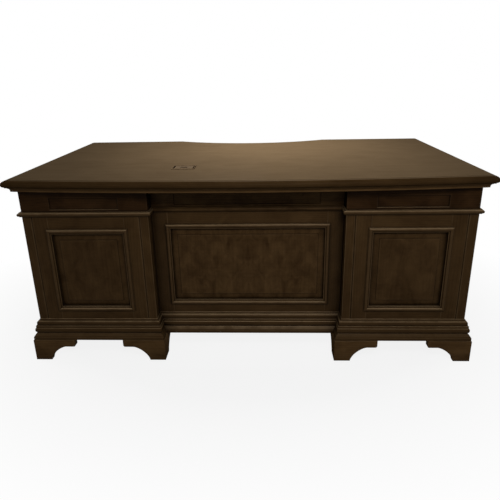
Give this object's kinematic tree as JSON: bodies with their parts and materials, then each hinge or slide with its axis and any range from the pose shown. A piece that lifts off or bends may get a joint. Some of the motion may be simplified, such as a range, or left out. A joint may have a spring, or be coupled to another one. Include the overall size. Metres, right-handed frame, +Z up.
{
  "type": "executive desk",
  "caption": "Double-pedestal executive desk with bowed moulded top, raised panels, bracket feet, a recessed modesty panel and sliding drawers behind.",
  "frame": {"origin": "on the floor at the middle of the desk's length and depth", "axes": "+X along the desk to the visitor's right, +Y from the visitor's side to the user's side, +Z up"},
  "size_m": [1.83, 0.96, 0.7883],
  "materials": {
    "dark_wood": "dark burnished cherry stain, satin lacquer",
    "top_wood": "dark brown veneer, polished lacquer",
    "drawer_wood": "clear lacquered drawer sides",
    "antique_brass": "aged brass",
    "dark_plastic": "black-brown moulded plastic"
  },
  "bodies": {
    "desk": {"centre_base_moulding": "dark_wood", "centre_frieze": "dark_wood", "desk_top": "top_wood", "left_astragal": "dark_wood", "left_base": "dark_wood", "left_drawer_frame": "dark_wood", "left_end_frame": "dark_wood", "left_end_moulding": "dark_wood", "left_end_panel": "dark_wood", "left_foot_user_left": "dark_wood", "left_foot_user_right": "dark_wood", "left_foot_visitor_left": "dark_wood", "left_foot_visitor_right": "dark_wood", "left_frieze": "dark_wood", "left_front_frame": "dark_wood", "left_front_moulding": "dark_wood", "left_front_panel": "dark_wood", "left_inner_side": "dark_wood", "modesty_frame": "dark_wood", "modesty_moulding": "dark_wood", "modesty_panel": "dark_wood", "power_bezel": "dark_plastic", "power_insert": "dark_plastic", "right_astragal": "dark_wood", "right_base": "dark_wood", "right_drawer_frame": "dark_wood", "right_end_frame": "dark_wood", "right_end_moulding": "dark_wood", "right_end_panel": "dark_wood", "right_foot_user_left": "dark_wood", "right_foot_user_right": "dark_wood", "right_foot_visitor_left": "dark_wood", "right_foot_visitor_right": "dark_wood", "right_frieze": "dark_wood", "right_front_frame": "dark_wood", "right_front_moulding": "dark_wood", "right_front_panel": "dark_wood", "right_inner_side": "dark_wood", "sub_top": "dark_wood"},
    "centre_drawer": {"centre_drawer_box": "drawer_wood", "centre_drawer_front": "dark_wood", "centre_drawer_pull": "antique_brass"},
    "left_frieze_drawer": {"left_frieze_drawer_box": "drawer_wood", "left_frieze_drawer_front": "dark_wood", "left_frieze_drawer_pull": "antique_brass"},
    "left_upper_drawer": {"left_upper_drawer_box": "drawer_wood", "left_upper_drawer_front": "dark_wood", "left_upper_drawer_pull": "antique_brass"},
    "left_file_drawer": {"left_file_drawer_box": "drawer_wood", "left_file_drawer_front": "dark_wood", "left_file_drawer_pull": "antique_brass"},
    "right_frieze_drawer": {"right_frieze_drawer_box": "drawer_wood", "right_frieze_drawer_front": "dark_wood", "right_frieze_drawer_pull": "antique_brass"},
    "right_upper_drawer": {"right_upper_drawer_box": "drawer_wood", "right_upper_drawer_front": "dark_wood", "right_upper_drawer_pull": "antique_brass"},
    "right_file_drawer": {"right_file_drawer_box": "drawer_wood", "right_file_drawer_front": "dark_wood", "right_file_drawer_pull": "antique_brass"}
  },
  "joints": [
    {"name": "centre_drawer_slide", "type": "slide", "parent": "desk", "child": "centre_drawer", "axis": [0, 1, 0], "range_m": [0, 0.3]},
    {"name": "left_frieze_drawer_slide", "type": "slide", "parent": "desk", "child": "left_frieze_drawer", "axis": [0, 1, 0], "range_m": [0, 0.36]},
    {"name": "left_upper_drawer_slide", "type": "slide", "parent": "desk", "child": "left_upper_drawer", "axis": [0, 1, 0], "range_m": [0, 0.44]},
    {"name": "left_file_drawer_slide", "type": "slide", "parent": "desk", "child": "left_file_drawer", "axis": [0, 1, 0], "range_m": [0, 0.5]},
    {"name": "right_frieze_drawer_slide", "type": "slide", "parent": "desk", "child": "right_frieze_drawer", "axis": [0, 1, 0], "range_m": [0, 0.36]},
    {"name": "right_upper_drawer_slide", "type": "slide", "parent": "desk", "child": "right_upper_drawer", "axis": [0, 1, 0], "range_m": [0, 0.44]},
    {"name": "right_file_drawer_slide", "type": "slide", "parent": "desk", "child": "right_file_drawer", "axis": [0, 1, 0], "range_m": [0, 0.5]}
  ]
}
